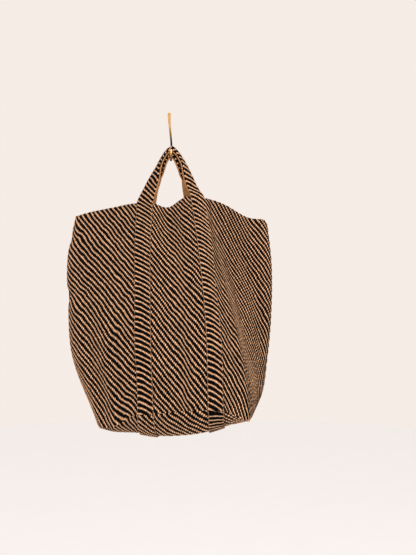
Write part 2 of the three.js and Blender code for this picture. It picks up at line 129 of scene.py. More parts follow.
# Handles, from the left end to the right one: the two edges of the outer face, each as x, depth
# and z. The outer edge comes first.
FRONT_HANDLE = (
    ((-60, 41, -83), (-31, 59, -85)), ((-48, 33, -58), (-26, 58, -62)),
    ((-33, 23, -31), (-23, 53, -32)), ((-22, 17, -9), (-15, 48, -13)),
    ((-10, 15, 8), (-7, 45, -2)), ((2, 14, 16), (2, 44, 1)), ((13, 15, 7), (11, 45, -3)),
    ((24, 17, -8), (19, 48, -13)), ((36, 22, -29), (27, 53, -30)),
    ((50, 33, -58), (32, 60, -61)), ((61, 44, -82), (39, 64, -84)),
)
BACK_HANDLE = (
    ((-57, 24, -81), (-30, 9, -79)), ((-24, 45, -57), (-27, 13, -55)),
    ((-17, 47, -40), (-24, 16, -37)), ((-12, 47, -25), (-17, 16, -19)),
    ((-6, 46, -15), (-9, 16, -3)), ((1, 46, -11), (1, 16, 5)), ((9, 46, -16), (11, 16, -3)),
    ((15, 47, -27), (20, 16, -20)), ((21, 47, -41), (27, 16, -38)),
    ((27, 45, -57), (29, 13, -55)), ((55, 26, -80), (27, 9, -79)),
)

# Prongs of the hook, from the plate to the tip: x, depth, z, width, thickness
UPPER_PRONG = (
    (0, 2.6, 2, 5, 4), (0.2, 5, 9, 4.6, 3.6), (0, 9, 22, 4.3, 3.4),
    (-1.5, 18, 42, 4.4, 3.2), (-3, 28, 62, 5.2, 3), (-3.4, 36, 82, 7, 2.8),
)
LOWER_PRONG = (
    (0, 1.6, 1.5, 4.6, 4.2), (0.4, 12, -4.7, 4.4, 4.2), (0.8, 27, -13.5, 4.4, 4.2),
    (1, 41, -20.9, 4.4, 4.2), (1.2, 49, -21.6, 4.6, 4), (1.4, 54, -13, 4.8, 3.8),
    (1.4, 54, 0.5, 5, 3.6),
)

# Panels of the wall between two straps, named by their edges, with the cloth from one to the other
PANELS = (
    ("left strap, inner", "right strap, inner", 120),
    ("right strap, outer", "back right strap, outer", 322),
    ("back right strap, inner", "back left strap, inner", 108),
    ("back left strap, outer", "left strap, outer", 322),
)

# Height of a natural stripe over the cloth's middle, the cloth of the wall under a strap, and the
# cloth beside it that stays as flat
EMBOSS = 0.5
STRAP_CLOTH = 34
STRAP_MARGIN = 3

# Length of the weave round the bag, and its number of stripes
WEAVE_ROUND = sum(cloth + STRAP_CLOTH for _, _, cloth in PANELS)
STRIPES_ROUND = 93

# Where a panel's cloth is gathered: line, cloth past it, half width, more cloth than on the level
GATHERS = (("front middle", 11, 13, 11),)

# Share by which the rows of the weave are closer at the rim and further apart at the seam
CLOSER = 0.13

# Height over which the rows turn to follow the seam, and the cloth that the seam takes up
SEAM_REACH = 70
SEAM_CLOTH = 15

# Where the rows are pushed up the wall: line, cloth past it, height over the seam, half width,
# half height, push
DRAGS = (("left strap, outer", -14, 0, 25, 48, 18), ("front left corner", 2, 175, 16, 65, -9))

# Waves of the weave: times round the bag, times up it, start, push across and push up
WAVES = (
    (5, -0.9, 5.0, 0.4, 0.4), (8, 2.3, 4.0, 0.4, 0.5), (13, -1.7, 1.2, 0.4, 0.5),
    (19, 3.1, 5.2, 0.3, 0.5), (29, -4.3, 0.4, 0.2, 0.5), (23, 7.7, 2.1, 0.2, 0.5),
    (12, -9.1, 3.3, 0.2, 0.4), (37, 4.9, 0.9, 0.2, 0.4), (31, -11.3, 4.6, 0.1, 0.3),
)

# Weave of a strap: stretch of it, share of the way along the stretch, distance from row to row
# as a share of the usual one, then degrees that the stripes lean at its two edges
STRAP_WEAVE = (
    ("up the wall", 0, 1.28, 11, 30), ("up the wall", 0.5, 1.1, 13, 34),
    ("up the wall", 1, 1.0, 30, 42), ("handle", 0.15, 0.95, 30, 34), ("handle", 0.3, 0.97, 14, 14),
    ("handle", 0.5, 1.15, 10, 10), ("handle", 0.65, 1.4, 10, 10), ("handle", 0.85, 1.45, 22, 18),
    ("handle", 1, 1.3, 32, 20), ("down the wall", 0.15, 1.04, 38, 18),
    ("down the wall", 0.5, 1.05, 35, 13), ("down the wall", 1, 1.3, 32, 13),
)

# Weave of the base: share of its width from the left, then the distance from stripe to stripe
# across and to the back there as shares of the usual ones. From front to back the stripes are this
# much closer at its edges.
BASE_WEAVE = ((0, 0.6, 2.0), (0.31, 0.66, 1.8), (0.41, 0.8, 1.4), (0.57, 1.1, 1.2),
              (0.73, 1.35, 1.25), (0.84, 1.5, 1.3), (1, 1.7, 1.35))
BASE_CLOSER = 0.5

# Sag of the base: how fast the shape of its side edges fades towards its middle, how far its
# lowest place lies to the right, and how full it is
EDGE_FADE, SAG_SHIFT, SAG_FULLNESS = 3, 1.1, 2.2

# Base bands: piece, part of the frame that it replaces, its two edges, the degrees that its
# stripes lean, and their distance as a share of the usual one on a strap
BASE_BANDS = (
    ("left_base_strap", "base_band_left", "left strap, outer", "left strap, inner", 37, 1.8),
    ("right_base_strap", "base_band_right", "right strap, inner", "right strap, outer", 1, 1.5),
)

# Painted sheen along the steep fold right of the right strap: a lighter band painted on, standing
# in for the brightness of that fold seen at a grazing angle. Share of the height, cloth past the
# front right corner, strength there; then its half width and how much the band covers
SHEEN_TABLE = ((0, 80, 0.4), (0.1, 62, 0.7), (0.3, 20, 1), (0.55, 3, 1), (0.8, -6, 0.9), (1, -14, 0.1))
SHEEN_HALF = 15
SHEEN_COVER = 0.32

# Hook: rings and sides of a prong, inset of its end as a share of its half width, distance over
# which its direction is taken, sides of the plate, rounding of the plate's and of a prong's edges,
# and its steps
PRONG_RINGS, PRONG_SIDES, PRONG_END, PRONG_STEP = 36, 20, 0.35, 0.5
PLATE_SIDES, PLATE_EDGE, PRONG_EDGE, EDGE_STEPS = 72, 0.6 * MM, 0.7 * MM, 3

# Camera: x, depth and z, its focal length, and the nearest distance that it shows, in metres
CAMERA_PLACE = (80.3, 1696, -272.5)
CAMERA_LENS = 50
CAMERA_NEAR = 0.05

# Lights: name, place and width in metres, power in watts, colour; then the place that they face
LIGHTS = (
    ("window", (1.5, -1.6, 1.0), 1.2, 34, (1.0, 0.97, 0.93)),
    ("fill", (-1.7, -1.3, 0.3), 1.6, 12, (1.0, 0.98, 0.96)),
)
LIGHT_AIM = (0, -0.08, -0.3)

# Floor: sides, radius and height in metres, patches to a metre, how much they change its tone,
# and its roughness
FLOOR_SIDES, FLOOR_RADIUS, FLOOR_HEIGHT = 96, 6, -1.7
FLOOR_PATCHES, FLOOR_TONE, FLOOR_ROUGHNESS = 6.0, 0.03, 0.9


# Sizes and colours that a user may change

class BagSizes(bpy.types.PropertyGroup):
    """Sizes of the bag and its hook"""
    cloth: FloatProperty(
        name="Cloth", description="Thickness of the wall, the base and the straps",
        default=3 * MM, min=1 * MM, max=5 * MM, unit="LENGTH")
    piece_gap: FloatProperty(
        name="Gap", description="Gap between two sewn layers",
        default=0.3 * MM, min=0, max=2 * MM, unit="LENGTH")
    base_sag: FloatProperty(
        name="Base sag", description="How far the middle of the base hangs below its edges",
        default=49 * MM, min=0, max=80 * MM, unit="LENGTH")
    base_depth: FloatProperty(
        name="Base depth", description="Cloth of the base from its front to its back",
        default=170 * MM, min=50 * MM, max=300 * MM, unit="LENGTH")
    strap_width: FloatProperty(
        name="Strap width", description="Width of a strap across its weave",
        default=34 * MM, min=20 * MM, max=60 * MM, unit="LENGTH")
    strap_border: FloatProperty(
        name="Strap border", description="Width of the plain edge of a strap",
        default=1 * MM, min=0, max=6 * MM, unit="LENGTH")
    plate_radius: FloatProperty(
        name="Plate radius", description="Radius of the hook's plate",
        default=12 * MM, min=6 * MM, max=30 * MM, unit="LENGTH")
    plate_thickness: FloatProperty(
        name="Plate thickness", description="Thickness of the hook's plate",
        default=3 * MM, min=1 * MM, max=8 * MM, unit="LENGTH")
    wall_repeat: FloatVectorProperty(
        name="Wall stripes", description="Distance from stripe to stripe, across and up the wall",
        default=(WEAVE_ROUND / STRIPES_ROUND * MM, 14.2 * MM), size=2, subtype="TRANSLATION",
        unit="LENGTH")
    base_repeat: FloatVectorProperty(
        name="Base stripes",
        description="Distance from stripe to stripe, across the base and to its back",
        default=(12 * MM, 14 * MM), size=2, subtype="TRANSLATION", unit="LENGTH")
    strap_repeat: FloatVectorProperty(
        name="Strap stripes", description="Distance from stripe to stripe, across and up a strap",
        default=(34 / 3 * MM, 9.6 * MM), size=2, subtype="TRANSLATION", unit="LENGTH")
    facing_repeat: FloatVectorProperty(
        name="Facing rib", description="Distance from rib to rib, across and up a facing",
        default=(8 * MM, 8 * MM), size=2, subtype="TRANSLATION", unit="LENGTH")
    fineness: IntProperty(
        name="Fineness", description="Mesh columns for each grid column of the tables",
        default=3, min=1, max=6)


class BagColours(bpy.types.PropertyGroup):
    """Colours of the yarns, the brass and the studio"""
    natural: FloatVectorProperty(
        name="Natural yarn", description="Undyed jute",
        default=(0.72, 0.415, 0.24), size=3, subtype="COLOR", min=0, max=1)
    black: FloatVectorProperty(
        name="Black yarn", description="Jute dyed black",
        default=(0.003, 0.0025, 0.0025), size=3, subtype="COLOR", min=0, max=1)
    lining: FloatVectorProperty(
        name="Lining yarn", description="Golden jute of the handles' facings",
        default=(0.84, 0.42, 0.18), size=3, subtype="COLOR", min=0, max=1)
    brass: FloatVectorProperty(
        name="Brass", description="Polished brass",
        default=(0.80, 0.47, 0.16), size=3, subtype="COLOR", min=0, max=1)
    floor: FloatVectorProperty(
        name="Floor", description="Plain floor",
        default=(0.95, 0.975, 0.995), size=3, subtype="COLOR", min=0, max=1)
    room: FloatVectorProperty(
        name="Room light", description="Colour of the light from all round",
        default=(0.92, 0.84, 0.79), size=3, subtype="COLOR", min=0, max=1)


# Shapes, as grids of points in millimetres

def smooth(knots, values, t, period=0.0):
    """Smooth curve through values at rising knots; a closed one repeats after the period"""
    knots = np.asarray(knots, float)
    values = np.asarray(values, float)
    if period:
        knots = np.concatenate([knots[-1:] - period, knots, knots[:2] + period])
        values = np.concatenate([values[-1:], values, values[:2]])
    spread = (-1,) + (1,) * (values.ndim - 1)
    steps = np.diff(knots).reshape(spread)
    rise = np.diff(values, axis=0) / steps
    slope = np.empty_like(values)
    slope[0], slope[-1] = rise[0], rise[-1]
    slope[1:-1] = (rise[:-1] * steps[1:] + rise[1:] * steps[:-1]) / (steps[1:] + steps[:-1])
    t = np.asarray(t, float)
    k = np.clip(np.searchsorted(knots, t, side="right") - 1, 0, len(knots) - 2)
    h = steps[k]
    s = (t - knots[k]).reshape(spread) / h
    return (values[k] * (2 * s ** 3 - 3 * s ** 2 + 1) + values[k + 1] * (3 * s ** 2 - 2 * s ** 3)
            + slope[k] * h * (s ** 3 - 2 * s ** 2 + s) + slope[k + 1] * h * (s ** 3 - s ** 2))


def unit(vectors):
    """The same directions with a length of 1"""
    return vectors / np.linalg.norm(vectors, axis=-1, keepdims=True)


def grid_normals(grid, closed=False):
    """Outward normals of a grid whose columns run to the right seen from outside"""
    if closed:
        along = np.roll(grid, -1, 1) - np.roll(grid, 1, 1)
    else:
        along = np.gradient(grid, axis=1)
    return unit(np.cross(along, np.gradient(grid, axis=0)))


def distances(grid, axis):
    """Distance of each point from the first one of its row or column, along the grid"""
    steps = np.linalg.norm(np.diff(grid, axis=axis), axis=-1)
    start = np.zeros_like(np.take(steps, [0], axis))
    return np.concatenate([start, np.cumsum(steps, axis)], axis)


def stretched(v):
    """Height in the weave: its rows are closer near the rim than near the base"""
    return v + CLOSER * (v * v / WALL_HEIGHT - v)


def ease(t):
    """0 up to -1, 1 from 1 on, with a soft rise between"""
    t = np.clip((t + 1) / 2, 0, 1)
    return t * t * (3 - 2 * t)


def wavy(u, v):
    """Moves places in the weave by soft waves that close round the bag"""
    across, up = u, v
    for around, high, start, push_across, push_up in WAVES:
        turn = 2 * math.pi * (around * u / WEAVE_ROUND + high * v / WALL_HEIGHT) + start
        across = across + push_across * np.sin(turn)
        up = up + push_up * np.cos(turn)
    return across, up


LINE_NAMES, LINE_STEPS, LINE_GAPS, LINE_SEAMS, LINE_RIMS, LINE_X, LINE_DEPTHS = zip(*LINES)
LINE_CLOTH = np.concatenate([[0], np.cumsum(LINE_GAPS)])
ROUND = float(LINE_CLOTH[-1])


def cloth_of(name):
    """Length of cloth from the left fold to a named line"""
    return float(LINE_CLOTH[LINE_NAMES.index(name)])


class Wall:
    """The wall's outer face: a grid of points, rows from the seam up, columns round the bag"""

    def __init__(self, fineness):
        self.fineness = fineness
        steps = [count * fineness for count in LINE_STEPS]
        self.first = np.concatenate([[0], np.cumsum(steps)])
        self.cloth = np.concatenate([
            start + gap * np.arange(count) / count
            for start, gap, count in zip(LINE_CLOTH, LINE_GAPS, steps)])
        self.columns = len(self.cloth)
        self.rows = WALL_ROWS * fineness + 1
        self.up = np.linspace(0, 1, self.rows)
        bare = self.hanging()
        bare += grid_normals(bare, True) * self.fold_push()[..., None]
        self.face = bare
        self.normals = grid_normals(bare, True)

    def hanging(self):
        """The wall without its soft folds"""
        def spread(table):
            return smooth(LINE_CLOTH[:-1], table.T, self.cloth, ROUND).T

        x = smooth(LEVELS, np.transpose(LINE_X), self.up)
        depth = smooth(LEVELS, np.transpose(LINE_DEPTHS), self.up)
        seam, rim = np.array(LINE_SEAMS, float), np.array(LINE_RIMS, float)
        z = seam + (rim - seam) * self.up[:, None]
        return np.stack([spread(x), -spread(depth), spread(z)], -1)

    def fold_push(self):
        """How far the soft folds push each point outwards"""
        push = 0
        for line, past, up, half, long, lean, depth in FOLDS:
            across = self.cloth[None] - cloth_of(line) - past
            across = across - ROUND * np.round(across / ROUND)
            upright = WALL_HEIGHT * (self.up[:, None] - up)
            turn = math.radians(lean)
            along = upright * math.cos(turn) + across * math.sin(turn)
            beside = across * math.cos(turn) - upright * math.sin(turn)
            push = push + depth * np.exp(-(along / long) ** 2 - (beside / half) ** 2)
        return push

    def woven(self):
        """Where each point lies in the weave: its share of the panel's cloth, and the real length
        down a column from the rim. Both the rim and the seam follow a row. A strap's cloth lies
        between two panels."""
        across = np.zeros((self.rows, self.columns + 1))
        start = 0
        for panel, (first, last, cloth) in enumerate(PANELS):
            columns = self.between(first, last)
            here = np.unwrap(self.cloth[columns], period=ROUND)
            real = distances(self.face[:, columns], 1)
            for line, past, half, more in GATHERS:
                place = np.unwrap([here[0], cloth_of(line) + past], period=ROUND)[1]
                real = real + more * ease((here - place) / half)
            real -= real[:, :1]
            across[:, columns] = start + real * cloth / real[:, -1:]
            covered = self.between(last, PANELS[(panel + 1) % len(PANELS)][0])
            across[:, covered] = start + cloth + STRAP_CLOTH * np.linspace(0, 1, len(covered))
            start += cloth + STRAP_CLOTH
        begin = self.column(PANELS[0][0])
        across[:, begin] = 0
        across[:, :begin] -= start
        across[:, -1] = across[:, 0] + start
        above = distances(self.face, 0)
        up = WALL_HEIGHT - above[-1:] + above
        near = np.exp(-above / SEAM_REACH)
        up = up * (1 - near) + (above - SEAM_CLOTH) * near
        for line, past, high, half, tall, push in DRAGS:
            beside = (self.cloth - cloth_of(line) - past) / half
            up = up - push * np.exp(-beside ** 2 - ((above - high) / tall) ** 2)
        up = np.concatenate([up, up[:, :1]], 1)
        return wavy(across, stretched(up))

    def column(self, name):
        """First grid column of a named line"""
        return int(self.first[LINE_NAMES.index(name)])

    def between(self, first, last):
        """Columns from one upright line to the next named one, to the right seen from outside"""
        start, end = self.column(first), self.column(last)
        if end < start:
            end += self.columns
        return np.arange(start, end + 1) % self.columns


def rubbed(u, v):
    """Strength of the painted sheen, a lighter band painted on the wall as a highlight, at each
    length of cloth and height
    """
    share, past, strength = zip(*SHEEN_TABLE)
    up = v / WALL_HEIGHT
    beside = u - cloth_of("front right corner") - np.interp(up, share, past)
    return np.interp(up, share, strength) * np.exp(-(beside / SHEEN_HALF) ** 2)


def base_face(wall, sag):
    """The base's outer face: rows from front to back, columns from left to right"""
    front = wall.between("left front turn", "front right corner")
    right = wall.between("front right corner", "back right corner")
    back = wall.between("back right corner", "back left corner")[::-1]
    left = wall.between("back left corner", "left front turn")[::-1]
    edge = wall.face[0]
    deep = np.linspace(0, 1, len(right))[:, None, None]
    width = cloth_of("front right corner") - cloth_of("left front turn")
    share = ((wall.cloth[front] - wall.cloth[front[0]]) / width)[None, :, None]

    def bulge(side, near):
        straight = edge[side[0]] + (edge[side[-1]] - edge[side[0]]) * deep[:, 0]
        return (edge[side] - straight)[:, None] * near ** EDGE_FADE

    grid = edge[front][None] * (1 - deep) + edge[back][None] * deep
    grid = grid + bulge(left, 1 - share) + bulge(right, share)
    across = 1 - np.abs(2 * share[..., 0] ** SAG_SHIFT - 1) ** SAG_FULLNESS
    grid[..., 2] -= sag * across * (4 * deep * (1 - deep))[..., 0]
    return grid


def strap_face(wall, left, right, stations, lift):
    """A strap's outer face: up the wall on the left, free as a handle, down on the right.
    Returns the grid, its normals and the first and last row of the free part."""
    up = wall.face[:, left] + wall.normals[:, left] * lift
    down = (wall.face[:, right] + wall.normals[:, right] * lift)[::-1]
    across = np.linspace(0, 1, len(left))[:, None]
    held = [np.array([x, -depth, z]) for pair in stations for x, depth, z in pair]
    rows = [first + (second - first) * across for first, second in zip(held[::2], held[1::2])]
    step = wall.fineness
    guides = np.array([up[-1 - step], up[-1], *rows, down[0], down[step]])
    middle = (guides[:, 0] + guides[:, -1]) / 2
    knots = distances(middle, 0)
    count = int((knots[-2] - knots[1]) / HANDLE_STEP)
    times = np.linspace(knots[1], knots[-2], count)[1:-1]
    free = smooth(knots, guides, times)
    face = np.concatenate([up, free, down])
    normals = grid_normals(face)
    normals[:len(up)] = wall.normals[:, left]
    normals[-len(down):] = wall.normals[:, right][::-1]
    return face, normals, len(up), len(up) + len(free)


def lengths(grid):
    """Distance along the middle column from the first row"""
    return distances(grid[:, grid.shape[1] // 2], 0)


# Meshes

INNER_SIDE = "inner side"


def deselect():
    """Leaves nothing selected, in object mode"""
    if bpy.context.object and bpy.context.object.mode != "OBJECT":
        bpy.ops.object.mode_set(mode="OBJECT")
    bpy.ops.object.select_all(action="DESELECT")


def take(piece):
    """Makes a piece the only selected and the active one"""
    deselect()
    piece.select_set(True)
    bpy.context.view_layer.objects.active = piece


def cloth_mesh(name, grid, maps, closed=False, flip=False):
    """A sheet through a grid of points, with the given UV maps, each as two grids u and v"""
    rows, columns = grid.shape[:2]
    spans = columns if closed else columns - 1
    r, c = np.meshgrid(np.arange(rows - 1), np.arange(spans), indexing="ij")
    corners = [(r, c), (r, c + 1), (r + 1, c + 1), (r + 1, c)]
    if flip:
        corners = corners[::-1]
    faces = np.stack([a * columns + b % columns for a, b in corners], -1).reshape(-1, 4)
    mesh = bpy.data.meshes.new(name)
    mesh.from_pydata((grid.reshape(-1, 3) * MM).tolist(), [], faces.tolist())
    for title, (u, v) in maps.items():
        flat = np.stack([np.stack([u[a, b], v[a, b]], -1) for a, b in corners], -2)
        layer = mesh.uv_layers.new(name=title)
        layer.uv.foreach_set("vector", (flat.reshape(-1) * MM).astype(np.float32))
    mesh.validate()
    piece = bpy.data.objects.new(name, mesh)
    bpy.context.collection.objects.link(piece)
    return piece


def thicken(piece, thickness):
    """Gives a sheet its thickness inwards and rounds its edges"""
    take(piece)
    solid = piece.modifiers.new("thickness", "SOLIDIFY")
    solid.thickness = thickness
    solid.offset = -1
    solid.use_even_offset = True
    solid.thickness_clamp = 1
    piece.vertex_groups.new(name=INNER_SIDE)
    solid.shell_vertex_group = INNER_SIDE
    bpy.ops.object.modifier_apply(modifier=solid.name)
    soft = piece.modifiers.new("softness", "SUBSURF")
    soft.levels = soft.render_levels = 1
    soft.boundary_smooth = "ALL"
    bpy.ops.object.modifier_apply(modifier=soft.name)
    bpy.ops.object.shade_smooth()


def uncovered(u):
    """1 where the wall or the base is bare at this length of cloth, 0 where a strap covers it"""
    bare = np.ones_like(u)
    for _, end, _ in PANELS:
        start = cloth_of(end)
        bare[(u > start - STRAP_MARGIN) & (u < start + STRAP_CLOTH + STRAP_MARGIN)] = 0
    return bare


def emboss(piece, repeat, leaning=False, bare=None):
    """Raises the natural stripes of a finished sheet and lowers the black ones between them. A
    sheet that lies on another one keeps its inner side, and one under a strap keeps flat there."""
    mesh = piece.data
    count = len(mesh.vertices)
    corners = np.empty(len(mesh.loops), int)
    mesh.loops.foreach_get("vertex_index", corners)

    def map_of(name):
        flat = np.empty(2 * len(corners), np.float32)
        mesh.uv_layers[name].uv.foreach_get("vector", flat)
        places = np.empty((count, 2))
        places[corners] = flat.reshape(-1, 2)
        return places.T

    x, y = map_of("weave")
    column, row = x * YARNS / repeat[0], y * YARNS / repeat[1]
    slope, bow = map_of("lean") if leaning else (1, 0)
    phase = (row + column * (slope + bow * column) - NATURAL_ROWS / 2) / YARNS
    height = EMBOSS * np.cos(2 * math.pi * phase)
    if bare:
        height *= bare(map_of("cloth")[0] / MM)
    else:
        inner = np.zeros(count)
        for vertex in mesh.vertices:
            for held in vertex.groups:
                inner[vertex.index] = held.weight
        height *= 1 - inner
    places, normals = np.empty(3 * count), np.empty(3 * count)
    mesh.vertices.foreach_get("co", places)
    mesh.vertex_normals.foreach_get("vector", normals)
    places += normals * np.repeat(height * MM, 3)
    mesh.vertices.foreach_set("co", places)
    mesh.update()
    piece.vertex_groups.clear()


def finish_piece(piece, material, slot, *nodes):
    """Gives a piece its material and body and lets it replace the nodes. The slot is not used"""
    piece.data.materials.append(material)
    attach(piece, BODY)
    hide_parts(*nodes)


# Materials

class Look:
    """A material whose nodes are made by short calls"""

    def __init__(self, name):
        self.material = bpy.data.materials.new(name)
        self.material.use_nodes = True
        self.nodes = self.material.node_tree.nodes
        self.links = self.material.node_tree.links
        self.shader = self.nodes["Principled BSDF"]

    def put(self, socket, value):
        if hasattr(value, "is_output"):
            self.links.new(value, socket)
        else:
            socket.default_value = value

    def math(self, operation, *values):
        node = self.nodes.new("ShaderNodeMath")
        node.operation = operation
        for socket, value in zip(node.inputs, values):
            self.put(socket, value)
        return node.outputs[0]

    def add(self, a, b):
        return self.math("ADD", a, b)

    def less(self, a, b):
        return self.math("SUBTRACT", a, b)

    def times(self, a, b):
        return self.math("MULTIPLY", a, b)

    def line(self, value, slope, start):
        """slope times the value, and start where it is 0"""
        return self.math("MULTIPLY_ADD", value, slope, start)

    def surface(self, colour, roughness):
        """Gives the surface its colour and roughness"""
        self.put(self.shader.inputs["Base Color"], colour)
        self.put(self.shader.inputs["Roughness"], roughness)

    def mix(self, factor, a, b):
        node = self.nodes.new("ShaderNodeMix")
        node.data_type = "RGBA"
        self.put(node.inputs["Factor"], factor)
        for socket, value in zip([s for s in node.inputs if s.type == "RGBA"], (a, b)):
            self.put(socket, (*value, 1) if isinstance(value, tuple) else value)
        return next(s for s in node.outputs if s.type == "RGBA")

    def blend(self, factor, a, b):
        """a where factor is 0, b where it is 1, for plain numbers"""
        return self.line(factor, self.less(b, a), a)

    def scaled(self, colour, factor):
        node = self.nodes.new("ShaderNodeVectorMath")
        node.operation = "SCALE"
        self.put(node.inputs[0], colour)
        self.put(node.inputs["Scale"], factor)
        return node.outputs[0]

    def uv(self, name):
        node = self.nodes.new("ShaderNodeUVMap")
        node.uv_map = name
        apart = self.nodes.new("ShaderNodeSeparateXYZ")
        self.links.new(node.outputs[0], apart.inputs[0])
        return apart.outputs[0], apart.outputs[1]

    def join(self, x, y, z=0.0):
        node = self.nodes.new("ShaderNodeCombineXYZ")
        for socket, value in zip(node.inputs, (x, y, z)):
            self.put(socket, value)
        return node.outputs[0]

    def noise(self, place, scale, detail):
        node = self.nodes.new("ShaderNodeTexNoise")
        self.put(node.inputs["Vector"], place)
        node.inputs["Scale"].default_value = scale
        node.inputs["Detail"].default_value = detail
        return node.outputs[0]

    def chance(self, place):
        node = self.nodes.new("ShaderNodeTexWhiteNoise")
        node.noise_dimensions = "3D"
        self.put(node.inputs["Vector"], place)
        return node.outputs["Value"]

    def bump(self, height, distance, strength):
        node = self.nodes.new("ShaderNodeBump")
        node.inputs["Distance"].default_value = distance
        node.inputs["Strength"].default_value = strength
        self.put(node.inputs["Height"], height)
        self.links.new(node.outputs[0], self.shader.inputs["Normal"])


# Weave: rows from one stripe to the next, and how many of them show the natural yarn
YARNS = 4
NATURAL_ROWS = 1.46

# Unevenness of the weave: patterns to a metre, then columns or rows that it moves the yarns
SHAKE_SCALE, COLUMN_SHAKE, ROW_SHAKE = 230.0, 0.5, 0.8
SLACK_SCALE, ROW_SLACK = 48.0, 1.6

# Round form of a yarn: how far its edges fall, share of its height that lasts at the ends of a
# float, and how fast painted shade darkens it towards its edges and in the hollows
CROWN_FALL = 3.8
FLOAT_ENDS = 0.4
HOLLOW_SHADE = 1.8

# Tones of the yarns: fibres and patches to a metre, length of a fibre to its width, then how much
# each bead, fibre and patch changes the light of the natural yarn, and its start. The layers keep
# the patterns of beads and fibres apart.
FIBRE_SCALE, FIBRE_LENGTH, PATCH_SCALE = 420.0, 6.0, 22.0
BEAD_TONE, FIBRE_TONE, PATCH_TONE, TONE_START = 0.5, 0.5, 0.3, -0.25
BEAD_LAYER, FIBRE_LAYER, CROSS_LAYER = 1.0, 5.0, 9.0

# Stray natural fibres on the black yarn: share of the fibre pattern from which they show, and
# how much of their colour they bring. Then the tone of the painted sheen, a lighter band painted
# on along the wall's steep fold as a highlight
STRAY_FROM, STRAY_TONE = 0.68, 0.05
SHEEN_FIBRE, SHEEN_START, SHEEN_SHAKE = 0.9, 0.05, 0.8

# Brightness of the crosswise yarns of a facing, as a share of the upright ones
FACING_WEFT = 1.2

# Twisted edge of a strap: length of a turn and how far it leans, then its tone, with painted shade
# darkest in the grooves between turns, and its height
TURN_LENGTH, TURN_LEAN = 2.4 * MM, 0.6
TURN_TONE, TURN_TONE_START, EDGE_FIBRE, EDGE_FIBRE_START = 0.4, 0.15, 0.5, 0.6
TURN_HEIGHT, TURN_HEIGHT_START = 0.6, 0.3

# Surface of the cloth
CLOTH_ROUGHNESS, CLOTH_GLOSS = 0.93, 0.04
FIBRE_BUMP, CLOTH_BUMP, CLOTH_BUMP_STRENGTH = 0.35, 1.1 * MM, 0.6


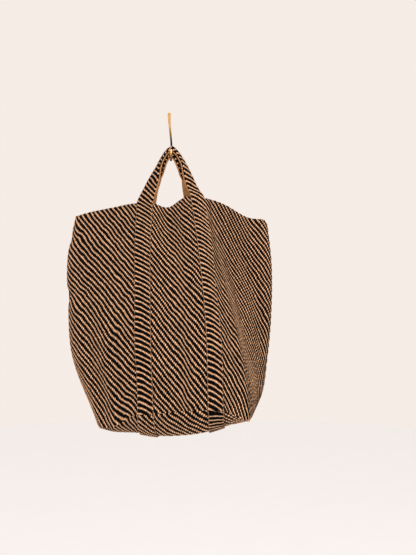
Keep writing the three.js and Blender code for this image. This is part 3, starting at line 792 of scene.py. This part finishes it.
def woven_cloth(name, repeat, natural, black, width=0.0, with_sheen=False):
    """A thick twill: natural yarns run up the cloth and black ones across it, and each natural
    one passes over some rows and under the others, further on in each column, so that stripes
    run down to the right. On a strap of a given width the map "lean" tells how far further on,
    and "border" how much of its edge shows the natural yarn alone. On the wall a third map tells
    where a lighter band is painted on as a painted sheen. Each yarn carries painted shade that
    darkens it towards its edges and in the hollows."""
    look = Look(name)
    u, v = look.uv("cloth")
    x, y = look.uv("weave")
    place = look.join(u, v)
    shake = look.less(look.noise(place, SHAKE_SCALE, 1.0), 0.5)
    slack = look.less(look.noise(place, SLACK_SCALE, 1.0), 0.5)
    loose = look.add(look.times(shake, ROW_SHAKE), look.times(slack, ROW_SLACK))
    x = look.add(look.times(x, YARNS / repeat[0]), look.times(shake, COLUMN_SHAKE))
    y = look.add(look.times(y, YARNS / repeat[1]), loose)
    column = shift = look.math("FLOOR", x)
    if width:
        slope, bow = look.uv("lean")
        shift = look.times(column, look.line(bow, column, slope))
    rise = look.math("FLOORED_MODULO", look.add(y, shift), YARNS)
    over = look.math("LESS_THAN", rise, NATURAL_ROWS)

    def yarn(across, along, rows):
        """Height of a yarn from its place across it and along its float"""
        off = look.less(look.math("FRACT", across), 0.5)
        crown = look.less(1.0, look.times(look.times(off, off), CROWN_FALL))
        arch = look.math("MAXIMUM", look.math("SINE", look.times(along, math.pi / rows)), 0.0)
        return look.times(look.math("SQRT", crown),
                          look.line(arch, 1 - FLOAT_ENDS, FLOAT_ENDS))

    warp = yarn(x, rise, NATURAL_ROWS)
    weft = yarn(y, look.less(rise, NATURAL_ROWS), YARNS - NATURAL_ROWS)
    height = look.blend(over, weft, warp)

    strand = look.math("FLOOR", look.math("DIVIDE", look.add(y, shift), YARNS))
    bead = look.chance(look.join(column, strand, BEAD_LAYER))
    fibre = look.join(look.times(u, FIBRE_LENGTH), v, FIBRE_LAYER)
    cross = look.join(u, look.times(v, FIBRE_LENGTH), CROSS_LAYER)
    fibre, cross = (look.noise(part, FIBRE_SCALE, 3.0) for part in (fibre, cross))
    fibre = look.blend(over, cross, fibre)
    patch = look.noise(place, PATCH_SCALE, 2.0)
    # Painted shade: each yarn darkens towards its edges, the ends of its float and the hollows
    # between yarns
    shade = look.math("POWER", height, HOLLOW_SHADE)
    tone = look.line(patch, PATCH_TONE, TONE_START)
    tone = look.line(fibre, FIBRE_TONE, tone)
    light = look.add(look.line(bead, BEAD_TONE, 1.0), tone)
    plain = look.scaled(natural, look.times(light, shade))
    stray = look.times(look.math("GREATER_THAN", fibre, STRAY_FROM), STRAY_TONE)
    dark = look.scaled(look.mix(stray, black, natural), shade)
    colour = look.mix(over, dark, plain)
    # Painted sheen: a lighter natural tone without stripes, painted over a band of the wall's steep
    # fold as a highlight
    if with_sheen:
        sheen_colour = look.scaled(natural, look.line(fibre, SHEEN_FIBRE, SHEEN_START))
        cover = look.line(shake, SHEEN_SHAKE, SHEEN_COVER)
        colour = look.mix(look.times(look.uv("rubbed")[0], cover), colour, sheen_colour)
    if width:
        edge = look.less(width / 2, look.math("ABSOLUTE", look.less(u, width / 2)))
        rim = look.math("LESS_THAN", edge, look.uv("border")[0])
        turn = look.times(look.add(v, look.times(edge, TURN_LEAN)), 1 / TURN_LENGTH)
        twist = look.math("SINE", look.times(look.math("FRACT", turn), math.pi))
        # Painted shade: the twisted edge is lightest in the middle of each turn and darkest in the
        # grooves between turns
        lit = look.times(look.line(twist, TURN_TONE, TURN_TONE_START),
                         look.line(fibre, EDGE_FIBRE, EDGE_FIBRE_START))
        colour = look.mix(rim, colour, look.scaled(natural, lit))
        turned = look.line(twist, TURN_HEIGHT, TURN_HEIGHT_START)
        height = look.blend(rim, height, turned)
    look.surface(colour, CLOTH_ROUGHNESS)
    look.shader.inputs["Specular IOR Level"].default_value = CLOTH_GLOSS
    fluffy = look.times(look.less(fibre, 0.5), FIBRE_BUMP)
    look.bump(look.add(height, fluffy), CLOTH_BUMP, CLOTH_BUMP_STRENGTH)
    return look.material


# Polished brass: stains and marks to a metre. Painted shade darkens the foot of the upper prong,
# standing in for its shadow and dark reflections, and is gone at its top. Below a change of tone
# near the plate's middle the brass has its full colour again, and then painted shade darkens it
# further down. The change lies at a share of the top's height.
STAIN_SCALE, MARK_SCALE = 60.0, 900.0
SHADE_TOP, SHADE_CHANGE = 56 * MM, 0.08
LEAST_ABOVE, LEAST_BELOW, MIDDLE_BRIGHT, BRIGHT_SLOPE = 0.03, 0.25, 0.85, 1.9
STAIN_TONE, STAIN_TONE_START = 0.5, 0.72
BRASS_ROUGHNESS, STAIN_ROUGHNESS = 0.14, 0.22
MARK_BUMP, MARK_STRENGTH = 0.05 * MM, 0.4


def brass_look(colour):
    """Polished brass with faint handling marks, darkened by painted shade at the foot of the upper
    prong and towards the bottom of the lower one
    """
    look = Look("polished brass")
    place = look.nodes.new("ShaderNodeTexCoord").outputs["Object"]
    stain = look.noise(place, STAIN_SCALE, 4.0)
    marks = look.noise(place, MARK_SCALE, 2.0)
    apart = look.nodes.new("ShaderNodeSeparateXYZ")
    look.links.new(place, apart.inputs[0])
    # Painted shade: the brass darkens towards the foot of the upper prong and towards the bottom of
    # the lower one
    height = look.math("DIVIDE", apart.outputs["Z"], SHADE_TOP)
    above = look.math("POWER", look.math("MAXIMUM", height, 0.0), 3.0)
    above = look.math("MINIMUM", look.math("MAXIMUM", above, LEAST_ABOVE), 1.0)
    below = look.line(height, BRIGHT_SLOPE, MIDDLE_BRIGHT)
    below = look.math("MAXIMUM", below, LEAST_BELOW)
    painted_shade = look.blend(look.math("GREATER_THAN", height, SHADE_CHANGE), below, above)
    tone = look.line(stain, STAIN_TONE, STAIN_TONE_START)
    look.shader.inputs["Metallic"].default_value = 1.0
    rough = look.line(stain, STAIN_ROUGHNESS, BRASS_ROUGHNESS)
    look.surface(look.scaled(colour, look.times(painted_shade, tone)), rough)
    look.bump(marks, MARK_BUMP, MARK_STRENGTH)
    return look.material


# Operators

def sizes():
    """The sizes as the user has set them"""
    return bpy.context.scene.bag_sizes


def colours():
    """The colours as the user has set them, by name"""
    chosen = bpy.context.scene.bag_colours
    return {name: tuple(getattr(chosen, name)) for name in BagColours.__annotations__}


class BAG_OT_wall(bpy.types.Operator):
    """Adds the wall: one length of striped jute round the bag, with its folds"""
    bl_idname = "bag.wall"
    bl_label = "Wall"

    def execute(self, context):
        size, colour = sizes(), colours()
        wall = Wall(size.fineness)
        across = np.concatenate([wall.cloth, [ROUND]])
        u, v = np.meshgrid(across, wall.up * WALL_HEIGHT)
        # Strength of the painted sheen, a lighter band painted along the steep fold as a highlight
        sheen_amount = rubbed(u, v) / MM
        piece = cloth_mesh("jute_wall", wall.face, {
            "cloth": (u, v), "weave": wall.woven(), "rubbed": (sheen_amount, sheen_amount)}, closed=True)
        thicken(piece, size.cloth)
        emboss(piece, size.wall_repeat, bare=uncovered)
        look = woven_cloth(
            "striped jute", size.wall_repeat, colour["natural"], colour["black"], with_sheen=True)
        finish_piece(piece, look, "wall_weave", "front_panel", "front_left_panel",
                     "left_side_panel", "right_side_panel", "back_panel")
        return {"FINISHED"}


class BAG_OT_base(bpy.types.Operator):
    """Adds the base: a panel that hangs between the wall's lower edges"""
    bl_idname = "bag.base"
    bl_label = "Base"

    def execute(self, context):
        size, colour = sizes(), colours()
        wall = Wall(size.fineness)
        grid = base_face(wall, size.base_sag / MM)
        front = wall.between("left front turn", "front right corner")
        across = wall.cloth[front]
        share, spacing, steep = zip(*BASE_WEAVE)
        places = across[0] + (across[-1] - across[0]) * np.array(share)
        deep = np.linspace(0, 1, len(grid))
        depth = -size.base_depth / MM
        u, v = np.meshgrid(across, depth * deep)
        closer = deep + BASE_CLOSER * np.sin(2 * math.pi * deep) / (2 * math.pi)
        weave = np.meshgrid(across[0] + crowded(across, places, spacing), depth * closer)
        weave[1] /= np.interp(across, places, steep)
        piece = cloth_mesh("jute_base", grid, {"cloth": (u, v), "weave": wavy(*weave)}, flip=True)
        thicken(piece, size.cloth)
        emboss(piece, size.base_repeat, bare=uncovered)
        look = woven_cloth(
            "striped jute base", size.base_repeat, colour["natural"], colour["black"])
        finish_piece(piece, look, "base_weave", "base_panel")
        return {"FINISHED"}


def crowded(u, places, spacing):
    """Length in a weave whose stripes lie at a changing distance"""
    spacing = np.interp(u, places, spacing)
    return np.concatenate([[0], np.cumsum(2 / (spacing[1:] + spacing[:-1]) * np.diff(u))])


def strap_weave(v, start, end):
    """Length in a strap's weave, and by how many rows a column starts further on, as the slope at
    its first edge and the change to its middle"""
    stretches = {"up the wall": (0, start), "handle": (start, end), "down the wall": (end, v[-1])}
    places = [np.interp(share, (0, 1), stretches[name]) for name, share, *_ in STRAP_WEAVE]
    first, last = (np.tan(np.radians(np.interp(v, places, [row[k] for row in STRAP_WEAVE])))
                   for k in (3, 4))
    return crowded(v, places, [row[2] for row in STRAP_WEAVE]), (first, (last - first) / 2)


def lean_map(lean, u):
    """The map "lean" of a strap: slope and bow in rows a column, the same across the strap"""
    size = sizes()
    slope, change = lean
    count = YARNS * size.strap_width / size.strap_repeat[0]
    ratio = size.strap_repeat[0] / size.strap_repeat[1]
    maps = slope * ratio, change * ratio / count
    return tuple(np.broadcast_to(part[:, None], u.shape) / MM for part in maps)


def webbing(name):
    """Cloth of a strap"""
    size, colour = sizes(), colours()
    return woven_cloth("striped jute webbing, " + name, size.strap_repeat, colour["natural"],
                       colour["black"], size.strap_width)


def add_strap(name, node, lining, lining_node, left, right, stations):
    """One strap with its plain facing on the inner side of the handle"""
    size, colour = sizes(), colours()
    wall = Wall(size.fineness)
    lift = (size.cloth + size.piece_gap) / MM
    face, normals, start, end = strap_face(wall, left, right, stations, lift)
    width = size.strap_width / MM
    along = lengths(face)
    rows, lean = strap_weave(along, along[start], along[end])
    u, v = np.meshgrid(np.linspace(0, width, face.shape[1]), along)
    bound = np.zeros_like(u)
    bound[:start] = bound[end:] = size.strap_border / MM
    strap = cloth_mesh(name, face, {
        "cloth": (u, v), "weave": (u, np.broadcast_to(rows[:, None], u.shape)),
        "lean": lean_map(lean, u), "border": (bound, bound)})
    thicken(strap, size.cloth)
    emboss(strap, size.strap_repeat, leaning=True)
    finish_piece(strap, webbing(name), "strap_weave", node)

    inner = face[start:end] - normals[start:end] * lift
    flat = u[start:end], v[start:end]
    facing = cloth_mesh(lining, inner, {"cloth": flat, "weave": flat})
    thicken(facing, size.cloth)
    look = woven_cloth("plain jute, " + name, size.facing_repeat, colour["lining"],
                       tuple(FACING_WEFT * part for part in colour["lining"]))
    finish_piece(facing, look, "natural_weave", lining_node)


class BAG_OT_straps(bpy.types.Operator):
    """Adds the two straps, each with a handle and its facing"""
    bl_idname = "bag.straps"
    bl_label = "Straps and handles"

    def execute(self, context):
        wall = Wall(sizes().fineness)
        add_strap("front_strap", "front_band", "front_facing", "front_handle_facing",
                  wall.between("left strap, outer", "left strap, inner"),
                  wall.between("right strap, inner", "right strap, outer")[::-1], FRONT_HANDLE)
        turned = tuple((second, first) for first, second in BACK_HANDLE)
        add_strap("back_strap", "back_band", "back_facing", "back_handle_facing",
                  wall.between("back left strap, inner", "back left strap, outer"),
                  wall.between("back right strap, outer", "back right strap, inner")[::-1], turned)
        return {"FINISHED"}


class BAG_OT_base_straps(bpy.types.Operator):
    """Adds the two bands that carry the straps on under the base"""
    bl_idname = "bag.base_straps"
    bl_label = "Base bands"

    def execute(self, context):
        size = sizes()
        wall = Wall(size.fineness)
        grid = base_face(wall, size.base_sag / MM)
        normals = -grid_normals(grid)
        start = wall.column("left front turn")
        look = webbing("base")
        lift = (size.cloth + size.piece_gap) / MM
        for name, node, first, last, lean, spacing in BASE_BANDS:
            columns = slice(wall.column(first) - start, wall.column(last) - start + 1)
            face = (grid + normals * lift)[:, columns]
            u, v = np.meshgrid(np.linspace(0, size.strap_width / MM, face.shape[1]), -lengths(face))
            slope = np.full(len(face), math.tan(math.radians(lean)))
            bound = np.full_like(u, size.strap_border / MM)
            band = cloth_mesh(name, face, {
                "cloth": (u, v), "weave": (u, v / spacing), "lean": lean_map((slope, 0 * slope), u),
                "border": (bound, bound)}, flip=True)
            thicken(band, size.cloth)
            emboss(band, size.strap_repeat, leaning=True)
            finish_piece(band, look, "strap_weave", node)
        return {"FINISHED"}


def bend_bar(bar, stations):
    """Moves the rings of a straight bar along z onto the stations of a prong"""
    table = np.array(stations, float)
    table[:, 1] *= -1
    knots = distances(table[:, :3], 0)
    for vertex in bar.data.vertices:
        along = vertex.co.z / MM
        x, y, z, width, thickness = smooth(knots, table, [along])[0]
        before, after = smooth(knots, table[:, :3], [
            max(along - PRONG_STEP, 0), min(along + PRONG_STEP, knots[-1])])
        ahead = unit(after - before)
        side = unit(np.array([1.0, 0, 0]) - ahead * ahead[0])
        face = np.cross(ahead, side)
        out = side * vertex.co.x * width / 2 + face * vertex.co.y * thickness / 2
        vertex.co = (np.array([x, y, z]) + out) * MM


def add_prong(name, stations):
    """A tapering bar: a disc pushed up ring by ring, with a rounded end, bent to its stations"""
    length = distances(np.array(stations, float)[:, :3], 0)[-1] * MM
    deselect()
    bpy.ops.mesh.primitive_circle_add(
        vertices=PRONG_SIDES, radius=1.0, fill_type="NGON", location=(0, 0, 0))
    bar = bpy.context.object
    bar.name = bar.data.name = name
    bpy.ops.object.mode_set(mode="EDIT")
    bpy.ops.mesh.select_all(action="SELECT")
    move = {"value": (0, 0, length / PRONG_RINGS)}
    for _ in range(PRONG_RINGS):
        bpy.ops.mesh.extrude_region_move(TRANSFORM_OT_translate=move)
    bpy.ops.mesh.inset(thickness=PRONG_END, depth=0)
    bpy.ops.mesh.select_all(action="SELECT")
    bpy.ops.mesh.normals_make_consistent(inside=False)
    bpy.ops.object.mode_set(mode="OBJECT")
    bend_bar(bar, stations)
    return bar


def round_edges(piece, width, angle):
    """Rounds the edges of a piece at which its faces turn by more than an angle in degrees"""
    take(piece)
    edge = piece.modifiers.new("edge", "BEVEL")
    edge.width = width
    edge.segments = EDGE_STEPS
    edge.limit_method = "ANGLE"
    edge.angle_limit = math.radians(angle)
    bpy.ops.object.modifier_apply(modifier=edge.name)


class BAG_OT_hook(bpy.types.Operator):
    """Adds the brass hook: a round plate, a long upper prong and a short lower one"""
    bl_idname = "bag.hook"
    bl_label = "Wall hook"

    def execute(self, context):
        size, colour = sizes(), colours()
        deselect()
        bpy.ops.mesh.primitive_cylinder_add(
            vertices=PLATE_SIDES, radius=size.plate_radius, depth=size.plate_thickness,
            location=(0, -size.plate_thickness / 2, 0), rotation=(math.pi / 2, 0, 0))
        plate = bpy.context.object
        bpy.ops.object.transform_apply(location=True, rotation=True, scale=True)
        round_edges(plate, PLATE_EDGE, angle=30)
        prongs = add_prong("upper", UPPER_PRONG), add_prong("lower", LOWER_PRONG)
        for prong in prongs:
            round_edges(prong, PRONG_EDGE, angle=50)
        take(plate)
        for prong in prongs:
            prong.select_set(True)
        bpy.ops.object.join()
        plate.name = plate.data.name = "brass_hook"
        bpy.ops.object.shade_smooth_by_angle(angle=math.radians(40))
        finish_piece(plate, brass_look(colour["brass"]), "brass", "wall_hook")
        return {"FINISHED"}


def add_light(name, place, width, power, colour):
    """A round lamp that faces the bag"""
    light = bpy.data.lights.new(name, "AREA")
    light.shape = "DISK"
    light.size = width
    light.energy = power
    light.color = colour
    lamp = bpy.data.objects.new(name, light)
    lamp.location = place
    facing = Vector(LIGHT_AIM) - Vector(place)
    lamp.rotation_euler = facing.to_track_quat("-Z", "Y").to_euler()
    bpy.context.collection.objects.link(lamp)


class BAG_OT_stage(bpy.types.Operator):
    """Adds the camera, the lights and a pale floor"""
    bl_idname = "bag.stage"
    bl_label = "Camera, light and floor"

    def execute(self, context):
        colour = colours()
        camera = bpy.data.objects.new("camera", bpy.data.cameras.new("camera"))
        x, depth, z = CAMERA_PLACE
        camera.location = (x * MM, -depth * MM, z * MM)
        camera.rotation_euler = (math.pi / 2, 0, 0)
        camera.data.lens = CAMERA_LENS
        camera.data.clip_start = CAMERA_NEAR
        context.collection.objects.link(camera)
        context.scene.camera = camera

        deselect()
        bpy.ops.mesh.primitive_circle_add(
            vertices=FLOOR_SIDES, radius=FLOOR_RADIUS, fill_type="NGON",
            location=(0, 0, FLOOR_HEIGHT))
        floor = context.object
        floor.name = "floor"
        look = Look("plain floor")
        place = look.nodes.new("ShaderNodeTexCoord").outputs["Object"]
        tone = look.line(look.noise(place, FLOOR_PATCHES, 3.0), FLOOR_TONE, 1 - FLOOR_TONE / 2)
        look.surface(look.scaled(colour["floor"], tone), FLOOR_ROUGHNESS)
        floor.data.materials.append(look.material)

        world = bpy.data.worlds.new("room")
        world.use_nodes = True
        glow = world.node_tree.nodes["Background"]
        glow.inputs["Color"].default_value = (*colour["room"], 1)
        glow.inputs["Strength"].default_value = 1.0
        context.scene.world = world
        context.scene.view_settings.view_transform = "Standard"
        for light in LIGHTS:
            add_light(*light)
        return {"FINISHED"}


class BAG_PT_panel(bpy.types.Panel):
    """Lists the pieces of the bag and their sizes and colours"""
    bl_idname = "BAG_PT_panel"
    bl_label = "Jute Bag"
    bl_space_type = "VIEW_3D"
    bl_region_type = "UI"
    bl_category = "Bag"

    def draw(self, context):
        for operator in PIECES:
            self.layout.operator(operator.bl_idname)
        for group in (context.scene.bag_sizes, context.scene.bag_colours):
            box = self.layout.box()
            for name in group.bl_rna.properties.keys():
                if name not in ("rna_type", "name"):
                    box.prop(group, name)


PIECES = (BAG_OT_wall, BAG_OT_base, BAG_OT_straps, BAG_OT_base_straps, BAG_OT_hook, BAG_OT_stage)
CLASSES = (BagSizes, BagColours, *PIECES, BAG_PT_panel)


def register():
    for item in CLASSES:
        bpy.utils.register_class(item)
    bpy.types.Scene.bag_sizes = PointerProperty(type=BagSizes)
    bpy.types.Scene.bag_colours = PointerProperty(type=BagColours)


def unregister():
    del bpy.types.Scene.bag_sizes
    del bpy.types.Scene.bag_colours
    for item in reversed(CLASSES):
        bpy.utils.unregister_class(item)


def main():
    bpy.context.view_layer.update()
    register()
    bpy.ops.bag.wall()
    bpy.ops.bag.base()
    bpy.ops.bag.straps()
    bpy.ops.bag.base_straps()
    bpy.ops.bag.hook()
    bpy.ops.bag.stage()


if __name__ == "__main__":
    main()
